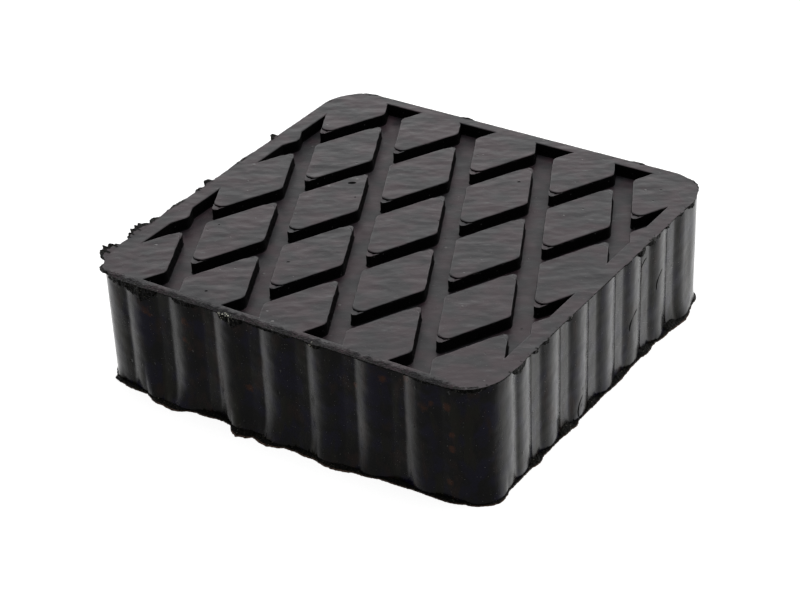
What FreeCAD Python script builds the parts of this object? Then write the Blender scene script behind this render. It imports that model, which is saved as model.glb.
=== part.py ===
"""Moulded rubber pad for a lifting arm or a jack: one solid block of rubber.

The pad lies flat, with its tread upwards. The origin is the middle of the underside,
X runs along the front face, Y from the front face to the back face, Z up. Millimetres.
"""
import FreeCAD
import Part
import math
import os

# Block
SIDE = 160.0                 # across the pad both ways, from rib crest to rib crest
HEIGHT = 45.0                # from the underside to the top of the studs
CORNER_RADIUS = 16.0         # upright corners, at the crests

# Upright ribs on the four sides
RIB_PITCH = 19.0
RIB_WIDTH = 10.0             # at the foot of a rib, before its roots are rounded
RIB_HEIGHT = 1.8             # crest above the flat land beside it
RIB_ROOT_RADIUS = 0.8
SIDE_RIB_SHIFT = 2.0         # ribs of the left and right faces, towards the back

# Thin webs that bridge the valleys between the ribs, flush with the crests
TOP_WEB = 0.5
BOTTOM_WEB = 1.0

# Tread: raised rhombic studs inside a flat rim, with two families of grooves between them
STUD_PITCH = 33.5            # between neighbours in a row, along X
ROW_SPACING = 34.0           # between rows, along Y; every second row is staggered
GROOVE_WIDTH = 7.0
GROOVE_DEPTH = 4.7
FRONT_RIM = 4.2              # rim along the front and back edges
SIDE_RIM = 6.0               # rim along the left and right edges

# Studs
STUD_SIDE_RADIUS = 3.5       # the two blunt tips, left and right
CROWN_TIP_RADIUS = 3.2       # the two sharp tips, at the crown
LEDGE_TIP_RADIUS = 1.2       # the sharp tips below the crown
LEDGE_DROP = 0.6             # how far the tips lie below the crown
EDGE_CHAMFER = 0.4           # top edges of the crowns and of the rim
ROOT_DEPTH = 1.0             # how deep a stud runs into the block, and its crown into the stud

SAME_PLACE = 1e-6            # lengths closer than this count as equal

# Derived places
half_side = SIDE / 2
land = half_side - RIB_HEIGHT
bend_start = half_side - CORNER_RADIUS
rib_radius = (RIB_WIDTH ** 2 / 4 + RIB_HEIGHT ** 2) / (2 * RIB_HEIGHT)
groove_floor = HEIGHT - GROOVE_DEPTH
recess_x = half_side - SIDE_RIM
recess_y = half_side - FRONT_RIM
recess_radius = CORNER_RADIUS - max(SIDE_RIM, FRONT_RIM)
stud_overlap = (min(SIDE_RIM, FRONT_RIM) - RIB_HEIGHT) / 2

# The lattice rhombus around one stud, and the angle of its flanks
cell_x = STUD_PITCH / 2
cell_y = ROW_SPACING
flank_length = math.hypot(cell_x, cell_y)
flank_normal = (cell_y / flank_length, cell_x / flank_length)


def wire_of(points_and_mids):
    """Closed wire through points; a None middle makes a line, any other makes an arc."""
    edges = []
    count = len(points_and_mids)
    for index, (start, middle) in enumerate(points_and_mids):
        end = points_and_mids[(index + 1) % count][0]
        if (end - start).Length < SAME_PLACE:
            continue
        if middle is None:
            edges.append(Part.LineSegment(start, end).toShape())
        else:
            edges.append(Part.Arc(start, middle, end).toShape())
    return Part.Wire(edges)


def prism(wire, bottom, top):
    face = Part.Face(wire)
    face.translate(FreeCAD.Vector(0, 0, bottom))
    return face.extrude(FreeCAD.Vector(0, 0, top - bottom))


def rounded_rectangle(half_x, half_y, radius):
    """Outline of a rectangle about the origin with four equal round corners."""
    outline = []
    for quarter, (sign_x, sign_y) in enumerate([(1, 1), (-1, 1), (-1, -1), (1, -1)]):
        centre = FreeCAD.Vector(sign_x * (half_x - radius), sign_y * (half_y - radius), 0)
        first = math.radians(90 * quarter)
        on_arc = [centre + radius * FreeCAD.Vector(math.cos(first + turn), math.sin(first + turn), 0)
                  for turn in (0, math.pi / 4, math.pi / 2)]
        outline.append((on_arc[0], on_arc[1]))
        outline.append((on_arc[2], None))
    return wire_of(outline)


def valley(first, second):
    """Rounded valley between two neighbouring crest circles of one side.

    A circle is (place along the side, radius); its crest stands RIB_HEIGHT above the land.
    The result is a list of (point, middle) pairs in the side's own plane, along and outwards,
    from where the first crest ends to where the second begins.
    """
    root = RIB_ROOT_RADIUS
    centres = [(place, RIB_HEIGHT - radius) for place, radius in (first, second)]
    reach = [math.sqrt((radius + root) ** 2 - (root - centre[1]) ** 2)
             for (_, radius), centre in zip((first, second), centres)]
    root_a = (centres[0][0] + reach[0], root)
    root_b = (centres[1][0] - reach[1], root)

    def touch(centre, radius, root_centre):
        share = radius / (radius + root)
        return tuple(c + share * (r - c) for c, r in zip(centre, root_centre))

    def lowest_between(root_centre, one, other):
        """Middle of the root arc that joins two points of its circle."""
        middle = ((one[0] + other[0]) / 2 - root_centre[0], (one[1] + other[1]) / 2 - root_centre[1])
        length = math.hypot(*middle)
        return (root_centre[0] + root * middle[0] / length, root_centre[1] + root * middle[1] / length)

    if root_a[0] < root_b[0]:
        start = touch(centres[0], first[1], root_a)
        end = touch(centres[1], second[1], root_b)
        land_a = (root_a[0], 0.0)
        land_b = (root_b[0], 0.0)
        return [(start, lowest_between(root_a, start, land_a)), (land_a, None),
                (land_b, lowest_between(root_b, land_b, end)), (end, None)]

    # No room for a land: one root arc touches both crests
    span_x = centres[1][0] - centres[0][0]
    span_y = centres[1][1] - centres[0][1]
    span = math.hypot(span_x, span_y)
    near, far = first[1] + root, second[1] + root
    along = (near ** 2 - far ** 2 + span ** 2) / (2 * span)
    up = math.sqrt(near ** 2 - along ** 2)
    shared = (centres[0][0] + (along * span_x - up * span_y) / span,
              centres[0][1] + (along * span_y + up * span_x) / span)
    start = touch(centres[0], first[1], shared)
    end = touch(centres[1], second[1], shared)
    return [(start, lowest_between(shared, start, end)), (end, None)]


def rib_places(shift):
    """Rib centres along one side, as many as fit between the bends of its corners."""
    room = bend_start - RIB_WIDTH / 2
    most = int(2 * half_side / RIB_PITCH)
    places = [shift + step * RIB_PITCH for step in range(-most, most + 1)]
    return [place for place in places if abs(place) <= room + SAME_PLACE]


def fluted_outline():
    """Section of the block: four ribbed sides joined by large round corners."""
    sides = [
        (FreeCAD.Vector(0, -1, 0), FreeCAD.Vector(1, 0, 0), 0.0),
        (FreeCAD.Vector(1, 0, 0), FreeCAD.Vector(0, 1, 0), SIDE_RIB_SHIFT),
        (FreeCAD.Vector(0, 1, 0), FreeCAD.Vector(-1, 0, 0), 0.0),
        (FreeCAD.Vector(-1, 0, 0), FreeCAD.Vector(0, -1, 0), -SIDE_RIB_SHIFT),
    ]
    outline = []
    for outwards, onwards, shift in sides:
        def place(point):
            return onwards * point[0] + outwards * (land + point[1])

        ribs = [(centre, rib_radius) for centre in rib_places(shift)]
        crests = [(-bend_start, CORNER_RADIUS)] + ribs + [(bend_start, CORNER_RADIUS)]
        for number in range(len(crests) - 1):
            curve = valley(crests[number], crests[number + 1])
            outline += [(place(point), middle and place(middle)) for point, middle in curve[:-1]]
            end = place(curve[-1][0])
            if number < len(crests) - 2:
                crest_top = place((crests[number + 1][0], RIB_HEIGHT))
            else:
                diagonal = (outwards + onwards).normalize()
                crest_top = (outwards + onwards) * bend_start + diagonal * CORNER_RADIUS
            outline.append((end, crest_top))
    return wire_of(outline)


def stud_outline(tip_radius):
    """Rhombus with rounded tips, half a groove inside its lattice cell."""
    inset = GROOVE_WIDTH / 2
    flank = math.atan2(flank_normal[1], flank_normal[0])
    side_radius = STUD_SIDE_RADIUS
    tips = [
        (FreeCAD.Vector(1, 0, 0), cell_x, flank_normal[0], side_radius, -flank, flank),
        (FreeCAD.Vector(0, 1, 0), cell_y, flank_normal[1], tip_radius, flank, math.pi - flank),
        (FreeCAD.Vector(-1, 0, 0), cell_x, flank_normal[0], side_radius, math.pi - flank, math.pi + flank),
        (FreeCAD.Vector(0, -1, 0), cell_y, flank_normal[1], tip_radius, math.pi + flank, 2 * math.pi - flank),
    ]
    outline = []
    for direction, reach, slope, radius, first, last in tips:
        centre = direction * (reach - (inset + radius) / slope)
        on_arc = [centre + radius * FreeCAD.Vector(math.cos(turn), math.sin(turn), 0)
                  for turn in (first, (first + last) / 2, last)]
        outline.append((on_arc[0], on_arc[1]))
        outline.append((on_arc[2], None))
    return wire_of(outline)


def stud():
    """One stud about the Z axis, standing on the groove floor."""
    ledge_level = HEIGHT - LEDGE_DROP
    base = prism(stud_outline(LEDGE_TIP_RADIUS), groove_floor - ROOT_DEPTH, ledge_level)
    crown = prism(stud_outline(CROWN_TIP_RADIUS), ledge_level - ROOT_DEPTH, HEIGHT)
    top_edges = [edge for edge in crown.Edges if edge.BoundBox.ZMin > HEIGHT - SAME_PLACE]
    crown = crown.makeChamfer(EDGE_CHAMFER, top_edges)
    return base.fuse(crown).removeSplitter()


def stud_places():
    """Centres of all studs that reach into the recess."""
    inset = GROOVE_WIDTH / 2
    reach_x = cell_x - (inset + STUD_SIDE_RADIUS) / flank_normal[0] + STUD_SIDE_RADIUS
    reach_y = cell_y - (inset + LEDGE_TIP_RADIUS) / flank_normal[1] + LEDGE_TIP_RADIUS
    rows = int((recess_y + reach_y) / ROW_SPACING) + 1
    columns = int((recess_x + reach_x) / STUD_PITCH) + 1
    places = []
    for row in range(-rows, rows + 1):
        for column in range(-columns, columns + 1):
            x = (column + (row % 2) / 2) * STUD_PITCH
            y = row * ROW_SPACING
            if abs(x) - reach_x < recess_x and abs(y) - reach_y < recess_y:
                places.append((x, y))
    return places


def pad():
    """The whole block: ribbed sides, webs, recessed tread floor and studs."""
    block = prism(fluted_outline(), 0, HEIGHT)
    plain = rounded_rectangle(half_side, half_side, CORNER_RADIUS)
    webs = [prism(plain, 0, BOTTOM_WEB), prism(plain, HEIGHT - TOP_WEB, HEIGHT)]
    block = block.multiFuse(webs)

    recess = prism(rounded_rectangle(recess_x, recess_y, recess_radius), groove_floor, HEIGHT)
    mouth = rounded_rectangle(recess_x, recess_y, recess_radius)
    mouth.translate(FreeCAD.Vector(0, 0, HEIGHT - EDGE_CHAMFER))
    flared = rounded_rectangle(recess_x + EDGE_CHAMFER, recess_y + EDGE_CHAMFER, recess_radius + EDGE_CHAMFER)
    flared.translate(FreeCAD.Vector(0, 0, HEIGHT))
    block = block.cut(recess).cut(Part.makeLoft([mouth, flared], True, True))

    reach = rounded_rectangle(recess_x + stud_overlap, recess_y + stud_overlap, recess_radius + stud_overlap)
    inside = prism(reach, groove_floor - ROOT_DEPTH, HEIGHT)
    pattern = stud()
    studs = []
    for x, y in stud_places():
        one = pattern.copy()
        one.translate(FreeCAD.Vector(x, y, 0))
        studs.append(one.common(inside))
    return block.multiFuse(studs).removeSplitter()


os.makedirs("parts", exist_ok=True)
rubber_pad = pad()
rubber_pad.exportStep("parts/rubber_pad.step")
print("rubber_pad", rubber_pad.ShapeType, "solids", len(rubber_pad.Solids), "valid", rubber_pad.isValid(),
      "faces", len(rubber_pad.Faces), "volume", round(rubber_pad.Volume), "box", rubber_pad.BoundBox)
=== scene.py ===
"""Moulded rubber lifting pad: its torn edges, worn tread and finish, and the studio round it.

Metres, in the frame of the solid: the origin is the middle of the underside, X runs along
the front face, Y from the front face to the back face, Z up.
"""
import bpy
import bmesh
import math
from collections import namedtuple
from mathutils import Matrix, Vector, noise


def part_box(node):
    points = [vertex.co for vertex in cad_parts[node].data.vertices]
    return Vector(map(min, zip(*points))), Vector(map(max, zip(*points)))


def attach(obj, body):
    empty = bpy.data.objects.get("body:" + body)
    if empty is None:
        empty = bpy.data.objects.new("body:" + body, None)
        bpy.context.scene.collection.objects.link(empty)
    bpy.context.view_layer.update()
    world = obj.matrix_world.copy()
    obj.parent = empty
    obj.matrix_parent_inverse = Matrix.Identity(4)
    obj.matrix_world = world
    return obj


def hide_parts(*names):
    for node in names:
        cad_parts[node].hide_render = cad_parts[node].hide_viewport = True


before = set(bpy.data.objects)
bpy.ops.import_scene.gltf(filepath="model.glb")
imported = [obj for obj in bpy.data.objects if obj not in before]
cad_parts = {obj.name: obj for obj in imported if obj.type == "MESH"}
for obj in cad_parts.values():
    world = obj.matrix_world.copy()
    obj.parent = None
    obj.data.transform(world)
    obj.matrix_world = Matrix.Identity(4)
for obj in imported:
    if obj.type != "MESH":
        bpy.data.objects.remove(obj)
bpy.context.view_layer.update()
MM = 0.001

# The block. Its ribs are lower and wider than the solid's, as the photograph has them
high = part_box("rubber_pad")[1]
HALF_SIDE = high.x
HEIGHT = high.z
CORNER_RADIUS = 16 * MM
BEND_START = HALF_SIDE - CORNER_RADIUS
RIB_PITCH = 19 * MM
RIB_HEIGHT = 1.5 * MM
CORNER_BLEND = 0.8 * MM
CORNER_SINK = math.radians(50)
SIDE_RIB_SHIFT = 2 * MM
END_ROOM = 4.9 * MM
WALL_WAVER_SIZE = 14 * MM
WALL_WAVER = 0.10 * MM

# The webs at the upper and lower edge, and the fine slit at a rib's root, deeper near the floor
TOP_WEB = 0.6 * MM
BOTTOM_WEB = 0.6 * MM
ROOT_SLIT_WIDTH = 0.36 * MM
ROOT_SLIT_DEPTH = 0.24 * MM
WEDGE_HEIGHT = 6 * MM
WEDGE_GAIN = 2.5

# Spacing of the mesh round the sides: wide on the back, narrow on flanks and at roots with a slit
WIDE_STEP = 0.6 * MM
EDGE_STEP = 0.36 * MM
FLANK_STEP = 0.26 * MM
ROOT_STEP = 0.18 * MM
ROOT_ZONE = 0.7 * MM
FLANK_ZONE = (3.6 * MM, 7.6 * MM)
CORNER_STEPS = 40

# The tread, which is the solid's but for the ledges' depth
STUD_PITCH = 33.5 * MM
ROW_SPACING = 34 * MM
GROOVE_WIDTH = 7 * MM
GROOVE_DEPTH = 4.7 * MM
FRONT_RIM = 4.2 * MM
SIDE_RIM = 6 * MM
STUD_SIDE_RADIUS = 3.5 * MM
CROWN_TIP_RADIUS = 3.2 * MM
LEDGE_TIP_RADIUS = 1.2 * MM
LEDGE_DROP = 0.5 * MM
GROOVE_FLOOR = HEIGHT - GROOVE_DEPTH
RECESS_X = HALF_SIDE - SIDE_RIM
RECESS_Y = HALF_SIDE - FRONT_RIM
RECESS_RADIUS = CORNER_RADIUS - max(SIDE_RIM, FRONT_RIM)

# Small forms of the tread
EDGE_ROUND = 0.5 * MM
FOOT = 0.25 * MM
LEDGE_ROUND = 0.25 * MM
CRACK_DEPTH = 0.3 * MM
CRACK_STEP = 2.3
CRACK_SHIFT = 9
SPARE = 1.5 * MM

# Waver of the stud edges, at the larger and the smaller of two sizes
STUD_WAVER = 0.13 * MM
STUD_WAVER_SIZES = (2.6 * MM, 0.9 * MM)

# The four sides, each with its outward and onward direction and the shift of its ribs
FRONT, RIGHT, BACK, LEFT = range(4)
SIDES = (
    (Vector((0, -1, 0)), Vector((1, 0, 0)), 0.0),
    (Vector((1, 0, 0)), Vector((0, 1, 0)), SIDE_RIB_SHIFT),
    (Vector((0, 1, 0)), Vector((-1, 0, 0)), 0.0),
    (Vector((-1, 0, 0)), Vector((0, -1, 0)), -SIDE_RIB_SHIFT),
)
QUARTER = 2 * BEND_START + math.pi / 2 * CORNER_RADIUS
ROUND = 4 * QUARTER

# A rib's crest radius and the roundness of its root, before and after its middle
RIB_RADII = {
    FRONT: (15.5 * MM, 10.5 * MM),
    RIGHT: (8.2 * MM, 19 * MM),
    BACK: (13 * MM, 13 * MM),
    LEFT: (19 * MM, 8.2 * MM),
}
ROOT_BLENDS = {
    FRONT: (0.5 * MM, 1.4 * MM),
    RIGHT: (1.5 * MM, 0.3 * MM),
    BACK: (1.0 * MM, 1.0 * MM),
    LEFT: (0.3 * MM, 1.5 * MM),
}
FAR_FOOT = math.sqrt(2 * RIB_RADII[RIGHT][1] * RIB_HEIGHT - RIB_HEIGHT ** 2)

Station = namedtuple("Station", "crest out hollow slit walk")
Tear = namedtuple("Tear", "side along half_width reach rise lift")
Flare = namedtuple("Flare", "side along half_width reach")

# Tears in the upper edge, in millimetres: place along a side, half width, reach outwards,
# depth of the torn band and upward curl
UPPER_TEARS = [Tear(*tear) for tear in (
    (LEFT, 78, 3, 1.4, 1.0, 0.1), (LEFT, 67, 5.5, 2.7, 1.2, 1.6), (LEFT, 50.5, 6.5, 2.3, 1.0, 0.9),
    (LEFT, 42, 2.5, 1.2, 1.0, 0.6), (LEFT, 30, 7, 0.7, 0.8, 0.1), (LEFT, 16, 2, 0.9, 0.8, 0.3),
    (LEFT, 10, 2.3, 1.5, 1.2, 1.0), (LEFT, -10, 8, 0.4, 0.8, 0.1), (LEFT, -31, 2.0, 1.3, 1.0, 0.9),
    (LEFT, 88, 9, 0.3, 2.4, 0.0), (FRONT, -61, 4.5, 0.4, 2.0, 0.0), (FRONT, -57, 7.5, 0.4, 4.6, 0.0),
    (FRONT, -37, 5.5, 0.3, 2.0, 0.0), (FRONT, -20.5, 2.5, 0.7, 2.0, 0.1), (FRONT, -17, 4.0, 0.5, 3.2, 0.0),
    (FRONT, -5, 7, 0.3, 0.7, 0.0), (FRONT, 4, 3, 0.2, 1.3, 0.0), (FRONT, 16, 3, 0.3, 1.2, 0.0),
    (FRONT, 58, 5, 0.2, 0.6, 0.0), (FRONT, 74, 7, 0.3, 1.2, 0.0), (RIGHT, -57, 4, 0.3, 2.8, 0.0),
    (RIGHT, -46.6, 1.8, 0.4, 1.5, 0.0), (RIGHT, -40, 2, 0.4, 1.5, 0.0), (RIGHT, -25, 2, 0.4, 1.0, 0.0),
    (RIGHT, 16, 3, 0.3, 0.8, 0.0), (RIGHT, 25.5, 2.4, 0.9, 2.4, 0.2), (RIGHT, 33.5, 3.0, 0.6, 2.0, 0.1),
    (RIGHT, 38, 1.6, 0.3, 1.4, 0.0), (RIGHT, 45, 2.0, 0.4, 1.0, 0.0), (RIGHT, 55, 2.0, 0.5, 1.0, 0.0),
    (RIGHT, 63, 3.0, 0.7, 1.5, 0.1), (RIGHT, 77, 5, 0.9, 0.8, 0.1), (BACK, -50, 3, 0.5, 0.6, 0.2),
    (BACK, 24, 3, 0.5, 0.6, 0.2), (BACK, 70, 6, 0.5, 0.8, 0.0),
)]

# Where the smooth foot of the wall flares outwards, in millimetres, and how far up that starts
FLARES = [Flare(*flare) for flare in (
    (FRONT, -47, 11, 2.4), (FRONT, 2, 26, 2.2), (FRONT, 24, 16, 2.4), (FRONT, 80, 8, 1.9),
    (RIGHT, 56, 10, 1.2), (BACK, -25, 16, 1.2), (LEFT, 10, 20, 1.0),
)]
FLARE_HEIGHT = 14 * MM

# Share of a lower tear that the wall's foot takes, and how far up that starts
SKIRT_SHARE = 0.65
SKIRT_HEIGHT = 6 * MM

# Tears in the lower edge, in the same order
LOWER_TEARS = [Tear(*tear) for tear in (
    (LEFT, 80, 2.5, 1.3, 0.3, 0.4), (FRONT, -52, 4, 0.8, 0.2, 0.0), (FRONT, -44.5, 5, 1.3, 0.2, 0.0),
    (FRONT, -33, 5, 0.8, 0.4, 0.0), (FRONT, -15.5, 5.5, 3.3, 0.6, 0.0), (FRONT, -4.5, 7, 2.0, 0.4, 0.0),
    (FRONT, 13, 5, 0.8, 0.1, 0.0), (FRONT, 22, 8, 1.5, 0.4, 0.0), (FRONT, 42, 10, 0.6, 0.1, 0.0),
    (FRONT, 81.5, 3.6, 0.6, 0.2, 0.0), (RIGHT, -46.5, 3.4, 0.8, 0.8, 0.0), (RIGHT, -26, 4, 0.5, 1.6, 0.0),
    (RIGHT, -22, 3, 0.9, 0.2, 0.0), (RIGHT, -7.5, 3.5, 0.2, 0.6, 0.0), (RIGHT, 9, 9, 0.6, 0.1, 0.0),
    (RIGHT, 11.5, 3.5, 0.4, 0.6, 0.0), (RIGHT, 30.5, 4, 0.7, 1.1, 0.0), (RIGHT, 44, 6, 1.0, 0.1, 0.0),
    (RIGHT, 49.5, 4, 0.8, 1.8, 0.0), (RIGHT, 56, 7, 1.1, 0.2, 0.0), (RIGHT, 72, 3.6, 0.8, 0.2, 0.1),
    (BACK, -30, 12, 0.6, 0.6, 0.0), (BACK, 20, 9, 1.2, 0.8, 0.0), (LEFT, -40, 9, 1.2, 0.8, 0.0),
    (LEFT, 5, 12, 0.6, 0.4, 0.0), (LEFT, 40, 8, 1.2, 0.8, 0.0),
)]

# How square a tear or a flare swells from its ends to its middle
SWELL_POWER = 0.8

# The flash between the tears: its reach, its jags, which are longer on the left, and the size
# and strength of the chops in the tears
UPPER_REACH = 0.18 * MM
LOWER_REACH = 0.36 * MM
UPPER_JAG = 0.14 * MM
LOWER_JAG = 0.2 * MM
LEFT_JAG = 2.4
JAG_SIZE = 0.9 * MM
UPPER_CHOPS = (1.3 * MM, 0.5)
LOWER_CHOPS = (2.5 * MM, 0.22)
LEAST_REACH = 0.02 * MM

# The torn tip of the lower flash: its thickness where it reaches THIN_REACH or more
TIP_THICKNESS = 0.4 * MM
THIN_REACH = 1.5 * MM

# Unevenness of the torn surfaces: sizes of the bumps outwards and up, and how far they go on the
# torn faces and on the flat ones
BUMPS_OUT = 0.6 * MM
BUMPS_UP = 0.8 * MM
LOWER_ROUGH = (0.2 * MM, 0.05 * MM)
UPPER_ROUGH = (0.24 * MM, 0.03 * MM)

# A fin reaches at least this far. The rim is torn where its unevenness, at two sizes, passes a
# limit: one on the front, as far as a walk along it and round the corner, and one elsewhere
FIN_REACH = 0.6 * MM
RIM_PATCHES = (1.1 * MM, 0.5 * MM)
FRONT_WALK = 2 * BEND_START + 14 * MM
FRONT_RIM_LIMIT = -0.12
OTHER_RIM_LIMIT = 0.4


def smooth_max(one, other, blend):
    """The larger of two heights, with a round root where they cross."""
    near = max(blend - abs(one - other), 0.0) / blend
    return max(one, other) + near * near * blend / 4


def crest_arc(distance, radius):
    """Height above the land of a round crest at a distance from its middle."""
    if abs(distance) >= radius:
        return -radius
    return math.sqrt(radius ** 2 - distance ** 2) - (radius - RIB_HEIGHT)


def rib_middles(shift):
    """Middles of the ribs that have room on a side's straight part."""
    middles = [shift + step * RIB_PITCH for step in range(-5, 6)]
    return [middle for middle in middles if abs(middle) <= BEND_START - END_ROOM]


def wall_height(along, ribs, side):
    """Height of a ribbed side above its land, up to RIB_HEIGHT on the crests."""
    height = 0.0
    for middle in ribs:
        after = int(along > middle)
        arc = crest_arc(along - middle, RIB_RADII[side][after])
        height = smooth_max(height, arc, ROOT_BLENDS[side][after])
    if side in (RIGHT, LEFT):
        for end in (-BEND_START, BEND_START):
            height = smooth_max(height, crest_arc(along - end, CORNER_RADIUS), CORNER_BLEND)
    return min(height, RIB_HEIGHT)


def root_slit(along, ribs):
    """Depth of the fine slit where the far root of a rib meets the land."""
    nearest = min(abs(along - middle - FAR_FOOT) for middle in ribs)
    return max(1 - nearest / ROOT_SLIT_WIDTH, 0) * ROOT_SLIT_DEPTH


def corner_hollow(side, turn):
    """How far the corner after a side sinks towards the land, where it meets the front or back face."""
    from_face = turn if side in (FRONT, BACK) else math.pi / 2 - turn
    share = max(1 - from_face / CORNER_SINK, 0.0)
    return RIB_HEIGHT * share * share * (3 - 2 * share)


def side_stations(side):
    """Stations along one side and round the corner after it, closer together at the rib roots."""
    out, on, shift = SIDES[side]
    following = SIDES[(side + 1) % 4][0]
    ribs = rib_middles(shift)
    places = []
    along = -BEND_START
    while along < BEND_START - ROOT_STEP:
        places.append(along)
        from_rib = min(abs(along - middle) for middle in ribs)
        if side == BACK:
            along += WIDE_STEP
        elif side == RIGHT and abs(from_rib - FAR_FOOT) < ROOT_ZONE:
            along += ROOT_STEP
        elif side != LEFT and FLANK_ZONE[0] < from_rib < FLANK_ZONE[1]:
            along += FLANK_STEP
        else:
            along += EDGE_STEP
    stations = []
    for along in places:
        crest = out * HALF_SIDE + on * along
        hollow = RIB_HEIGHT - wall_height(along, ribs, side)
        slit = root_slit(along, ribs) if side == RIGHT else 0.0
        stations.append(Station(crest, out, hollow, slit, side * QUARTER + BEND_START + along))
    for step in range(CORNER_STEPS):
        turn = math.pi / 2 * step / CORNER_STEPS
        towards = out * math.cos(turn) + following * math.sin(turn)
        crest = (out + following) * BEND_START + towards * CORNER_RADIUS
        walk = side * QUARTER + 2 * BEND_START + turn * CORNER_RADIUS
        stations.append(Station(crest, towards, corner_hollow(side, turn), 0.0, walk))
    return stations


stations = [station for side in range(4) for station in side_stations(side)]


def torn(station, tears, field):
    """How much of one measure the tears have at a station."""
    total = 0.0
    for tear in tears:
        middle = tear.side * QUARTER + BEND_START + tear.along * MM
        distance = abs(station.walk - middle) % ROUND
        distance = min(distance, ROUND - distance) / (tear.half_width * MM)
        if distance < 1:
            swell = (1 - distance ** 2) ** SWELL_POWER
            total = max(total, swell * getattr(tear, field) * MM)
    return total


def rough(place, size, amount):
    """Uneven value at a place, about -amount to amount, over bumps of the given size."""
    return noise.noise(place / size) * amount


def edge_field(tears, base, jag, chops):
    """Reach, rise and lift of the flash at every station: base, fine jags, and the tears chopped up."""
    chop_size, chop = chops
    rows = []
    for station in stations:
        place = station.crest
        jagged = jag * LEFT_JAG if station.walk > 3 * QUARTER else jag
        fine = rough(place, JAG_SIZE, jagged) + rough(place, JAG_SIZE / 2, jagged * 0.6)
        cut = 1 + rough(place, chop_size, chop) + rough(place, chop_size / 2.2, chop * 0.6)
        reach = max(base + fine + torn(station, tears, "reach") * cut, LEAST_REACH)
        rise = torn(station, tears, "rise") * (1 + 0.4 * (cut - 1))
        rows.append((reach, rise, torn(station, tears, "lift") * cut))
    return rows


UPPER = edge_field(UPPER_TEARS, UPPER_REACH, UPPER_JAG, UPPER_CHOPS)
LOWER = edge_field(LOWER_TEARS, LOWER_REACH, LOWER_JAG, LOWER_CHOPS)
FLARE = [torn(station, FLARES, "reach") for station in stations]
SKIRT = [torn(station, LOWER_TEARS, "reach") * SKIRT_SHARE for station in stations]


def flared(number, level):
    """How far the foot of the wall stands out at a station and a level."""
    flare = FLARE[number] * max(1 - level / FLARE_HEIGHT, 0.0) ** 2
    return flare + SKIRT[number] * max(1 - level / SKIRT_HEIGHT, 0.0) ** 2


def begin(name, count):
    """Starts a skin: a ring of vertices, each carrying its number round the ring."""
    bpy.ops.object.select_all(action="DESELECT")
    bpy.ops.mesh.primitive_circle_add(vertices=count, radius=HALF_SIDE)
    piece = bpy.context.object
    piece.name = name
    numbers = piece.data.attributes.new("number", "INT", "POINT")
    numbers.data.foreach_set("value", list(range(count)))
    piece.data.attributes.new("torn", "FLOAT", "POINT")
    bpy.ops.object.mode_set(mode="EDIT")
    bpy.ops.mesh.select_mode(type="VERT")
    bpy.ops.mesh.select_all(action="SELECT")
    return piece


def set_ring(piece, place, mask):
    """Moves the selected ring to place(number) and marks how torn it is, as mask(number) or one value."""
    mesh = bmesh.from_edit_mesh(piece.data)
    numbers = mesh.verts.layers.int["number"]
    masks = mesh.verts.layers.float["torn"]
    for vertex in mesh.verts:
        if vertex.select:
            vertex.co = place(vertex[numbers])
            vertex[masks] = mask(vertex[numbers]) if callable(mask) else mask
    bmesh.update_edit_mesh(piece.data)


def next_ring(piece, place, mask=0.0):
    """Extrudes the selected ring and moves the new one."""
    bpy.ops.mesh.extrude_edges_move(TRANSFORM_OT_translate={"value": (0, 0, 0)})
    set_ring(piece, place, mask)


def close_ring():
    """Fills the selected ring with one flat face."""
    bpy.ops.mesh.edge_face_add()


def finish_piece():
    """Turns the faces of the piece in edit mode outwards and leaves that mode."""
    bpy.ops.mesh.select_all(action="SELECT")
    bpy.ops.mesh.normals_make_consistent(inside=False)
    bpy.ops.object.mode_set(mode="OBJECT")


def wall_ring(share):
    """Ring on the ribbed wall, at a share of the way up between the two torn edges."""
    def place(number):
        station = stations[number]
        bottom = BOTTOM_WEB + LOWER[number][1]
        top = HEIGHT - TOP_WEB - UPPER[number][1]
        level = bottom + (top - bottom) * share
        wedge = 1 + WEDGE_GAIN * max(1 - (level - bottom) / WEDGE_HEIGHT, 0)
        depth = station.hollow + station.slit * wedge - flared(number, level)
        spot = station.crest - station.out * depth + Vector((0, 0, level))
        return spot + station.out * rough(spot, WALL_WAVER_SIZE, WALL_WAVER)
    return place


def lower_ring(out_share, up_share, crease=0.0):
    """Ring of the lower flash: out_share from the wall to the tip, up_share of its thickness there."""
    def place(number):
        station = stations[number]
        reach, rise, lift = LOWER[number]
        depth = station.hollow * (1 - out_share) + crease
        thin = min(reach / THIN_REACH, 1.0)
        tip = BOTTOM_WEB + (TIP_THICKNESS - BOTTOM_WEB) * thin
        root = BOTTOM_WEB + rise
        level = (root + (tip - root) * out_share) * up_share + lift * out_share
        outwards = (reach - SKIRT[number]) * out_share - depth + flared(number, level)
        spot = station.crest + station.out * outwards + Vector((0, 0, level))
        ragged = LOWER_ROUGH[0] if up_share else LOWER_ROUGH[1]
        bumps = Vector((0, 0, abs(rough(spot, BUMPS_UP, ragged))))
        return spot + station.out * rough(spot, BUMPS_OUT, ragged) + bumps
    return place


def upper_ring(out_share, down_share, crease=0.0):
    """Ring of the upper flash: out_share from the wall to the tip, down_share of its depth."""
    def place(number):
        station = stations[number]
        reach, rise, lift = UPPER[number]
        depth = station.hollow * (1 - out_share) + crease
        spot = station.crest + station.out * (reach * out_share - depth)
        level = HEIGHT - (TOP_WEB + rise) * down_share + lift * out_share ** 2 * (1 - down_share * 0.6)
        spot = spot + Vector((0, 0, level))
        ragged = UPPER_ROUGH[0] if down_share else UPPER_ROUGH[1]
        bumps = Vector((0, 0, rough(spot, BUMPS_UP, ragged / 2)))
        return spot + station.out * rough(spot, BUMPS_OUT, ragged) + bumps
    return place


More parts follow.
